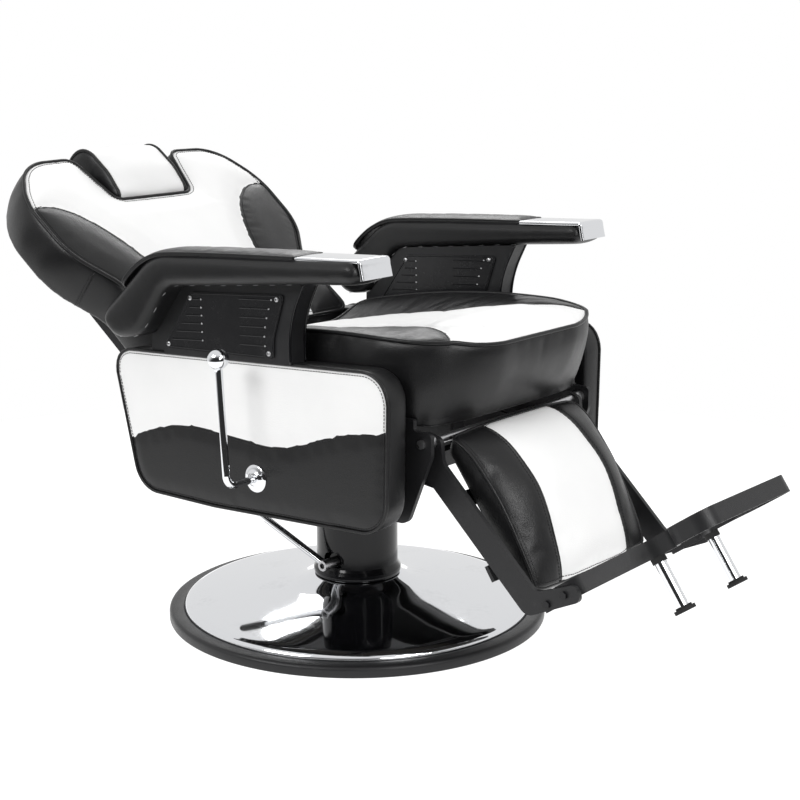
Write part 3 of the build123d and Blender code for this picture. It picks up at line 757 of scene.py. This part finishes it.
# ---------------------------------------------------------------- arm supports and vents
# A pressed steel support stands on each panel, with a bright-edged curved flange in front. A
# vent plate is screwed to its outside, with rows of pressed louvres that end in small dots.
wear_finish(powder_coat, "arm_support_right", "arm_support_left")
satin_black = finish("satin_black_plastic", (0.010, 0.010, 0.011), (0.014, 0.014, 0.015), (30, 0.20, 0.30),
                     texture=(1400, 0.00006))
wear_finish(satin_black, "arm_vent_plates")


def louvre_tree():
    """Geometry nodes: a round rib along each edge, half sunk in the plate, with a dot at its end."""
    tree, given = node_group(
        "louvres", "GeometryNodeTree",
        {"Geometry": "Geometry", "Rib radius": "Float", "Dot radius": "Float", "Finish": "Material",
         "Dot finish": "Material"}, {"Geometry": "Geometry"})
    line = node(tree, "GeometryNodeMeshToCurve", {"Mesh": given["Geometry"]}).outputs["Curve"]
    ring = node(tree, "GeometryNodeCurvePrimitiveCircle", {"Resolution": 10, "Radius": given["Rib radius"]})
    rib = node(tree, "GeometryNodeCurveToMesh", {
        "Curve": line, "Profile Curve": ring.outputs["Curve"], "Fill Caps": True})
    ends = node(tree, "GeometryNodeCurveEndpointSelection", {"Start Size": 0})
    ball = node(tree, "GeometryNodeMeshUVSphere", {"Segments": 12, "Rings": 8, "Radius": given["Dot radius"]})
    dots = node(tree, "GeometryNodeInstanceOnPoints", {
        "Points": line, "Selection": ends.outputs["Selection"], "Instance": ball.outputs["Mesh"]})
    real = node(tree, "GeometryNodeRealizeInstances", {"Geometry": dots.outputs["Instances"]})
    node(tree, "NodeGroupOutput", {"Geometry": joined(tree, (
        dressed(tree, rib.outputs["Mesh"], given["Finish"]),
        dressed(tree, real.outputs["Geometry"], given["Dot finish"])))})
    return tree


louvre_nodes = louvre_tree()
VENT_FACES = (0.2945, 0.2555)
louvre_rows = [((0.012, 0.5951), (0.0809, 0.6000)), ((0.012, 0.5808), (0.0752, 0.5853)),
               ((0.013, 0.5665), (0.0705, 0.5706)), ((0.013, 0.5520), (0.0670, 0.5559)),
               ((0.013, 0.5374), (0.0650, 0.5410)), ((0.013, 0.5230), (0.0660, 0.5262)),
               ((-0.0915, 0.5836), (-0.0732, 0.5850)), ((-0.0985, 0.5700), (-0.0730, 0.5719)),
               ((-0.1075, 0.5562), (-0.0726, 0.5590)), ((-0.1180, 0.5421), (-0.0722, 0.5458)),
               ((-0.1300, 0.5278), (-0.0718, 0.5325)), ((-0.1424, 0.5130), (-0.0710, 0.5187))]
for side_name, s in SIDES:
    louvre_points = [(x, s * y, z) for y in VENT_FACES for row in louvre_rows for x, z in row]
    grown("vent_louvres_" + side_name, louvre_points, [(i, i + 1) for i in range(0, len(louvre_points), 2)],
          louvre_nodes, {"Rib radius": 0.0014, "Dot radius": 0.0016, "Finish": enamel, "Dot finish": zinc},
          smooth=True)

vent_outline = cut([(-0.1595, 0.4995), (0.0815, 0.5102), (0.0825, 0.5400), (0.1045, 0.6083), (-0.0928, 0.5926)],
                   [0.005, 0.005, 0.040, 0.005, 0.005], 0.006)
bead("vent_rims", [upright(vent_outline, y) for y in (-0.2945, -0.2555, 0.2555, 0.2945)], 0.0009, "seat",
     material=enamel, sides=6)
support_edge = flowing([(0.1170, 0.5030), (0.1158, 0.5280), (0.1172, 0.5520), (0.1215, 0.5740), (0.1290, 0.5960),
                        (0.1385, 0.6160), (0.1460, 0.6310)], 6)
bead("support_edges", [upright(support_edge, y) for y in (-0.2918, -0.2582, 0.2582, 0.2918)], 0.0022, "seat",
     closed=False, material=enamel, sides=10)


def screw_tree():
    """Geometry nodes: a domed screw head at each point, facing along Y, with a dark cross drawn on it for its cross
    recess: painted shade, not a cut hollow.
    """
    tree, given = node_group(
        "vent_screw_heads", "GeometryNodeTree",
        {"Geometry": "Geometry", "Head radius": "Float", "Head height": "Float", "Finish": "Material",
         "Recess shade": "Material"}, {"Geometry": "Geometry"})
    points = node(tree, "GeometryNodeMeshToPoints", {"Mesh": given["Geometry"]})
    size = node(tree, "ShaderNodeCombineXYZ", {
        "X": given["Head radius"], "Y": given["Head height"], "Z": given["Head radius"]})
    head = node(tree, "GeometryNodeMeshUVSphere", {"Segments": 20, "Rings": 10, "Radius": 1.0})
    squash = node(tree, "GeometryNodeTransform", {"Geometry": head.outputs["Mesh"], "Scale": size.outputs["Vector"]})
    parts = [dressed(tree, squash.outputs["Geometry"], given["Finish"])]
    # The recess is not cut into the head: two thin boxes in the recess material stand just proud of it, a dark cross
    # painted as the shade inside the hollow.
    for extent in ((0.0036, 0.0048, 0.0008), (0.0008, 0.0048, 0.0036)):
        recess = node(tree, "GeometryNodeMeshCube", {"Size": extent})
        parts.append(dressed(tree, recess.outputs["Mesh"], given["Recess shade"]))
    place = node(tree, "GeometryNodeInstanceOnPoints", {
        "Points": points.outputs["Points"], "Instance": joined(tree, parts)})
    real = node(tree, "GeometryNodeRealizeInstances", {"Geometry": place.outputs["Instances"]})
    node(tree, "NodeGroupOutput", {"Geometry": real.outputs["Geometry"]})
    return tree


screw_points = [(x, y, z) for y in (-0.2950, -0.2550, 0.2550, 0.2950)
                for x, z in ((-0.098, 0.585), (-0.150, 0.504), (0.092, 0.602), (0.074, 0.515))]
# Black rubber on the recess is painted shade: the zinc heads' cross recesses are drawn dark, not cut.
screw_heads = grown("vent_screw_heads", screw_points, [], screw_tree(), {
    "Head radius": 0.0042, "Head height": 0.0022, "Finish": zinc, "Recess shade": rubber}, smooth=True)
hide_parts("vent_screws")

# ---------------------------------------------------------------- arm pads
# Moulded foam arms in black leatherette, with a rounded rear leg. A softer crowned pad is sewn
# on top, and a chromed cap covers the front of the arm and wraps down over its end.
arm_outline = cut([(-0.2665, 0.5480), (-0.2470, 0.5060), (-0.1960, 0.5140), (-0.1270, 0.6050),
                   (0.0100, 0.6190), (0.2745, 0.6470), (0.2690, 0.6780), (0.1560, 0.6720), (0.0, 0.6640),
                   (-0.1480, 0.6530)],
                  [0.026, 0.020, 0.040, 0.045, 0.30, 0.006, 0.006, 0.05, 0.40, 0.075], 0.008)
top_pad_line = flowing([(-0.236, 0.5890), (-0.214, 0.6120), (-0.186, 0.6335), (-0.152, 0.6490), (-0.110, 0.6562),
                        (0.0, 0.6640), (0.100, 0.6695), (0.157, 0.6722)], 8)
top_pad_reach = np.concatenate([[0], np.cumsum(np.linalg.norm(np.diff(top_pad_line, axis=0), axis=1))])


arm_underside = flowing([(-0.2380, 0.5070), (-0.2000, 0.5150), (-0.1880, 0.5280), (-0.1600, 0.5660), (-0.1330, 0.5960),
                         (-0.1000, 0.6080), (0.0, 0.6175), (0.140, 0.6320)], 6) - (0, 0.004)
ARM_FACE, ARM_REAR, ARM_ROUNDING = 0.3325, 0.2505, 0.010
TOP_PAD_MIDDLE = 0.2915


def arm_face(p, y):
    """An arm pattern's face, pulled in from its edge for the arm's rounded long edges."""
    middle = np.stack([p[:, 0], np.interp(p[:, 0], [-0.25, -0.17, -0.12, 0.0, 0.28],
                                          [0.535, 0.58, 0.63, 0.642, 0.664])], 1)
    away = p - middle
    length = np.linalg.norm(away, axis=1)[:, None]
    return upright(p - away / np.maximum(length, 1e-6) * np.minimum(ARM_ROUNDING, length * 0.5), y)


def top_pad_surface(p, side, rise):
    """The arm's top: distance along it and across it, as a point that far above the arm."""
    x = np.interp(p[:, 0], top_pad_reach, top_pad_line[:, 0])
    z = np.interp(p[:, 0], top_pad_reach, top_pad_line[:, 1])
    slope = np.gradient(top_pad_line, axis=0)
    slope /= np.linalg.norm(slope, axis=1)[:, None]
    tilt_x = np.interp(p[:, 0], top_pad_reach, -slope[:, 1])
    tilt_z = np.interp(p[:, 0], top_pad_reach, slope[:, 0])
    return np.stack([x + tilt_x * rise, side * (TOP_PAD_MIDDLE + p[:, 1]), z + tilt_z * rise], 1)


for side_name, s in SIDES:
    arm, _, _, _ = stuffed(
        "arm_cover_" + side_name, arm_outline,
        lambda p: arm_face(p, s * ARM_FACE), lambda p: arm_face(p, s * ARM_REAR),
        [(0, 0), (0.03, 0.0042), (0.08, 0.0080), (0.16, 0.0100), (0.34, 0.0112), (0.5, 0.0116), (0.66, 0.0112),
         (0.84, 0.0100), (0.92, 0.0080), (0.97, 0.0042), (1, 0)],
        "seat", "arm_pad_" + side_name, pitch=0.008, puff=0.0016, back_puff=0.0016, reach=0.03, cap=0.0006,
        ease=0.0)
    length = top_pad_reach[-1]
    _, top_ring, _, top_side = stuffed(
        "arm_top_cover_" + side_name,
        cut([(0.0, -0.030), (0.10, -0.034), (length - 0.03, -0.0335), (length, -0.0335), (length, 0.0335),
             (length - 0.03, 0.0335), (0.10, 0.034), (0.0, 0.030)],
            [0.022, 0.08, 0.05, 0.004, 0.004, 0.05, 0.08, 0.022], 0.007),
        lambda p: top_pad_surface(p, s, 0.0035), lambda p: top_pad_surface(p, s, -0.003),
        [(0, 0), (0.5, 0.001), (1, 0)], "seat", "arm_top_pad_" + side_name, pitch=0.0075, puff=0.0048, reach=0.026,
        cap=0.0014, ease=0.004)
    bead("arm_top_piping_" + side_name, [top_ring - top_side * 0.0006], 0.0018, "seat")
    stitches("arm_stitches_" + side_name, arm, [top_ring + top_side * 0.0058 + (0, 0, 0.004)], "seat", closed=True)
    stitches("arm_staples_" + side_name, arm, [upright(arm_underside, s * y) for y in (0.318, 0.262)], "seat",
             pitch=0.034, share=0.3, thickness=0.0004, material=zinc)

# ---------------------------------------------------------------- chromed arm caps
# A pressed and chromed steel cap over the front of each arm, with softly rolled edges.
cap_path = flowing([(0.1570, 0.6762), (0.1900, 0.6780), (0.2300, 0.6800), (0.2640, 0.6820), (0.2760, 0.6828),
                    (0.2822, 0.6822), (0.2856, 0.6785), (0.2868, 0.6720), (0.2892, 0.6620), (0.2912, 0.6535)], 4)
CAP_MIDDLE, CAP_THICKNESS = 0.289, 0.0022
cap_slope = np.gradient(cap_path, axis=0)
cap_slope /= np.linalg.norm(cap_slope, axis=1)[:, None]
cap_rows = [(-0.0350, 0.0030), (-0.0346, 0.0011), (-0.0335, 0.0002), (-0.0300, -0.0002), (-0.0150, -0.0006),
            (0.0, -0.0008), (0.0150, -0.0006), (0.0300, -0.0002), (0.0335, 0.0002), (0.0346, 0.0011), (0.0350, 0.0030)]
for side_name, s in SIDES:
    verts, faces, wide = [], [], len(cap_rows)
    for layer in (0.0, CAP_THICKNESS):
        for (x, z), (dx, dz) in zip(cap_path, cap_slope):
            for across, sink in cap_rows:
                depth = sink + layer
                verts.append((x + dz * depth, s * (CAP_MIDDLE + across * (1 - layer * 10)), z - dx * depth))
    half = len(cap_path) * wide
    for i in range(len(cap_path) - 1):
        for j in range(wide - 1):
            a, b = i * wide + j, (i + 1) * wide + j
            faces += [(a, a + 1, b + 1, b), (half + a, half + b, half + b + 1, half + a + 1)]
        for j in (0, wide - 1):
            a, b = i * wide + j, (i + 1) * wide + j
            faces.append((a, b, half + b, half + a))
    for i in (0, len(cap_path) - 1):
        for j in range(wide - 1):
            a = i * wide + j
            faces.append((a, half + a, half + a + 1, a + 1))
    arm_cap = make_piece("arm_cap_" + side_name, verts, faces, [chrome], "seat")
    face_outwards(arm_cap.data)
    arm_cap.data.set_sharp_from_angle(angle=math.radians(50))
    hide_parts("arm_trim_" + side_name)

# ---------------------------------------------------------------- recline lever
# A bent and chromed steel bar on the sitter's right, with a ball knob screwed on its end.
wear_finish(chrome, "recline_lever_rod")
knob_profile = [(0.0001, 0.0170)] + [(0.017 * math.sin(a), 0.017 * math.cos(a))
                                     for a in np.linspace(0.12, 2.70, 26)] + [
    (0.0066, -0.0168), (0.0064, -0.0200), (0.0061, -0.0203), (0.0061, -0.0120), (0.0001, -0.0110)]
verts, faces = spun(knob_profile[::-1], 64)
knob = make_piece("lever_ball", [(0.024 + x, -0.356 + y, 0.510 + z) for x, y, z in verts], faces, [chrome],
                  "recline_lever", 40)
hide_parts("recline_lever_knob")

# ---------------------------------------------------------------- gas spring
# A locking gas spring under the seat: black cylinder, ground rod, and an eye on the crank rod.
wear_finish(enamel, "gas_spring_cylinder")
wear_finish(hard_chrome, "gas_spring_rod")

# ---------------------------------------------------------------- backrest
# A shield-shaped cushion on plywood and steel plates: white centre, black lens-shaped inserts,
# a black boxing with a cross seam and puckers at the waist, and a notch for the headrest.
wear_finish(powder_coat, "backrest_plates", "backrest_cross_tubes")
wear_finish(plywood, "backrest_board")
wear_finish(hard_chrome, "backrest_crank_rod")
recline = math.radians(37.9)


def on_backrest(p, out):
    """Points a distance up the backrest and across it, and a distance out of its face."""
    return np.stack([-0.487 - p[:, 0] * math.cos(recline) + out * math.sin(recline), p[:, 1],
                     0.6952 + p[:, 0] * math.sin(recline) + out * math.cos(recline)], 1)


half_back = [(-0.343, 0.230), (-0.200, 0.226), (-0.110, 0.288), (0.020, 0.292), (0.114, 0.235), (0.117, 0.122),
             (0.0035, 0.094)]
half_radii = [0.022, 0.060, 0.120, 0.120, 0.075, 0.022, 0.020]
back_outline = cut(half_back + [(a, -b) for a, b in half_back[::-1]], half_radii + half_radii[::-1], 0.0095)
back_insert = flowing([(0.004, 0.290), (0.006, 0.262), (0.002, 0.240), (-0.010, 0.218), (-0.030, 0.196),
                       (-0.056, 0.176), (-0.090, 0.157), (-0.125, 0.142), (-0.160, 0.131), (-0.190, 0.128),
                       (-0.240, 0.138), (-0.300, 0.143), (-0.346, 0.132)], 5)
back_loops = [np.vstack([line, [(-0.40, 0.15 * s), (-0.40, 0.45 * s), (0.004, 0.45 * s)]])
              for line, s in zip(each_side(back_insert), (-1, 1))]
back_rest, back_ring, _, back_side = stuffed(
    "backrest_pad", back_outline, lambda p: on_backrest(p, 0.0), lambda p: on_backrest(p, -0.0895),
    [(0, 0), (0.06, 0.003), (0.2, 0.006), (0.4, 0.0075), (0.6, 0.007), (0.8, 0.004), (0.93, 0.0005), (1, 0)],
    "backrest", "backrest_cushion", seams=each_side(back_insert),
    zone=lambda q: 1 - (inside(q, back_loops[0]) | inside(q, back_loops[1])).astype(int),
    pitch=0.0095, puff=0.007, reach=0.045, cap=0.0022, ease=0.001, ripple=0.002)
bead("backrest_piping", [back_ring + (0.0006, 0, 0.0008)], 0.0032, "backrest")
waist_seams = [laid_on(back_rest, on_backrest(np.stack([np.full(12, -0.158), np.full(12, s * 0.262)], 1),
                                              np.linspace(-0.003, -0.086, 12)), 0.0003) for s in (-1, 1)]
bead("backrest_waist_seams", waist_seams, 0.0013, "backrest", closed=False)
stitches("backrest_waist_stitches", back_rest, [np.array(line) + (-0.0045, 0, 0.0035) for line in waist_seams],
         "backrest")
stitches("backrest_stitches", back_rest,
         [on_backrest(line + (0, 0.0055 * s), 0.006) for line, s in zip(each_side(back_insert), (-1, 1))]
         + [back_ring - back_side * 0.0095], "backrest")

# ---------------------------------------------------------------- headrest
# A pillow that rolls over the top of the backrest on a flat steel bar: white leatherette
# across, black ends, and black piping round both ends and along the lower edge.
wear_finish(powder_coat, "headrest_guide")
wear_finish(hard_chrome, "headrest_bar")
pillow_outline = cut([(0.012, -0.066), (0.008, 0.005), (0.060, 0.0165), (0.145, 0.0145), (0.154, -0.066)],
                     [0.010, 0.012, 0.060, 0.040, 0.020], 0.007)
_, pillow_ring, _, _ = stuffed(
    "headrest_pad", pillow_outline,
    lambda p: on_backrest(np.stack([p[:, 0], np.full(len(p), -0.0825)], 1), p[:, 1]),
    lambda p: on_backrest(np.stack([p[:, 0], np.full(len(p), 0.0825)], 1), p[:, 1]),
    [(0, 0), (0.05, 0.0010), (0.15, 0.0022), (0.28, 0.0032), (0.42, 0.0036), (0.58, 0.0036), (0.72, 0.0032),
     (0.85, 0.0022), (0.95, 0.0010), (1, 0)],
    "headrest", "headrest_pillow", pitch=0.0075, puff=0.005, back_puff=0.005, reach=0.03,
    zone=lambda q: np.zeros(len(q), int), back_zone=lambda q: np.zeros(len(q), int), boxing=1,
    cap=0.0025, ease=0.003)
bead("headrest_piping", [pillow_ring, pillow_ring * (1, -1, 1)], 0.0030, "headrest")

# ---------------------------------------------------------------- links
# Flat black links under the seat carry the backrest's swing to the legrest.
wear_finish(powder_coat, "recline_links")

# ---------------------------------------------------------------- legrest
# Bent steel bars carry a crowned calf cushion on plywood: a white stripe down the middle with
# doubled piping beside it, black at both sides, and a piped edge.
wear_finish(powder_coat, "legrest_bar_right", "legrest_bar_left", "legrest_cross_bars")
wear_finish(plywood, "legrest_board")
wear_finish(hard_chrome, "link_pins")
calf_middle = flowing([(0.3330, 0.4020), (0.3560, 0.3985), (0.3870, 0.3850), (0.4160, 0.3620), (0.4480, 0.3300),
                       (0.4670, 0.2940), (0.4800, 0.2540), (0.4910, 0.2160), (0.4940, 0.1900), (0.4930, 0.1800)], 6)
calf_edge = flowing([(0.3300, 0.3950), (0.3510, 0.3870), (0.3720, 0.3700), (0.3940, 0.3450), (0.4190, 0.3130),
                     (0.4400, 0.2790), (0.4590, 0.2440), (0.4750, 0.2120), (0.4840, 0.1900), (0.4860, 0.1800)], 6)
calf_back = np.linspace((0.3235, 0.3785), (0.4665, 0.1600), len(calf_middle))
CALF_LENGTH, CALF_HALF = 0.285, 0.16
calf_steps = np.linspace(0, CALF_LENGTH, len(calf_middle))


def calf_width(down):
    """Half of the calf cushion's width at a distance down it."""
    return 0.166 - 0.014 * down / CALF_LENGTH


def calf_face(p):
    """The crowned face: distance down the cushion and share of the width across."""
    share = np.abs(p[:, 1]) / CALF_HALF
    fall = share ** 2.6
    point = [np.interp(p[:, 0], calf_steps, calf_middle[:, k]) * (1 - fall)
             + np.interp(p[:, 0], calf_steps, calf_edge[:, k]) * fall for k in (0, 1)]
    return np.stack([point[0], p[:, 1] / CALF_HALF * calf_width(p[:, 0]), point[1]], 1)


def calf_rear(p):
    """The flat back of the cushion, against its board."""
    return np.stack([np.interp(p[:, 0], calf_steps, calf_back[:, 0]), p[:, 1] / CALF_HALF * calf_width(p[:, 0]),
                     np.interp(p[:, 0], calf_steps, calf_back[:, 1])], 1)


calf_outline = cut([(0, -CALF_HALF), (CALF_LENGTH, -CALF_HALF), (CALF_LENGTH, CALF_HALF), (0, CALF_HALF)],
                   [0.016, 0.020, 0.020, 0.016], 0.0085)
calf_seam = flowing([(0.0, 0.086), (0.08, 0.087), (0.18, 0.0925), (0.285, 0.099)], 8)
calf, calf_ring, _, calf_side = stuffed(
    "calf_pad", calf_outline, calf_face, calf_rear,
    [(0, 0), (0.12, 0.001), (0.35, 0.002), (0.65, 0.0015), (1, 0)], "legrest", "legrest_cushion",
    seams=each_side(calf_seam),
    zone=lambda q: (np.abs(q[:, 1]) < np.interp(q[:, 0], calf_seam[:, 0], calf_seam[:, 1])).astype(int),
    pitch=0.0085, puff=0.0045, reach=0.024, cap=0.0025, ease=0.004)
bead("calf_piping", [calf_ring], 0.0028, "legrest")
calf_lines = [calf_face(line + (0, shift * s)) for line, s in zip(each_side(calf_seam), (-1, 1))
              for shift in (0.0, 0.009)]
bead("calf_seam_piping", [spaced(line, 0.006) for line in calf_lines[::2]], 0.0017, "legrest", closed=False)
stitches("calf_stitches", calf, calf_lines[1::2] + [calf_ring - calf_side * 0.008], "legrest")

# ---------------------------------------------------------------- footrest
# A flat steel bar bent into a hoop and bolted to the legrest's ears. Two chromed posts with
# rubber collars and feet stand under it, so the chair can rest on them when it sits upright.
wear_finish(powder_coat, "footrest_hoop")
wear_finish(chrome, "footrest_posts")
wear_finish(rubber, "footrest_rubbers")
wear_finish(enamel, "footrest_bolts")
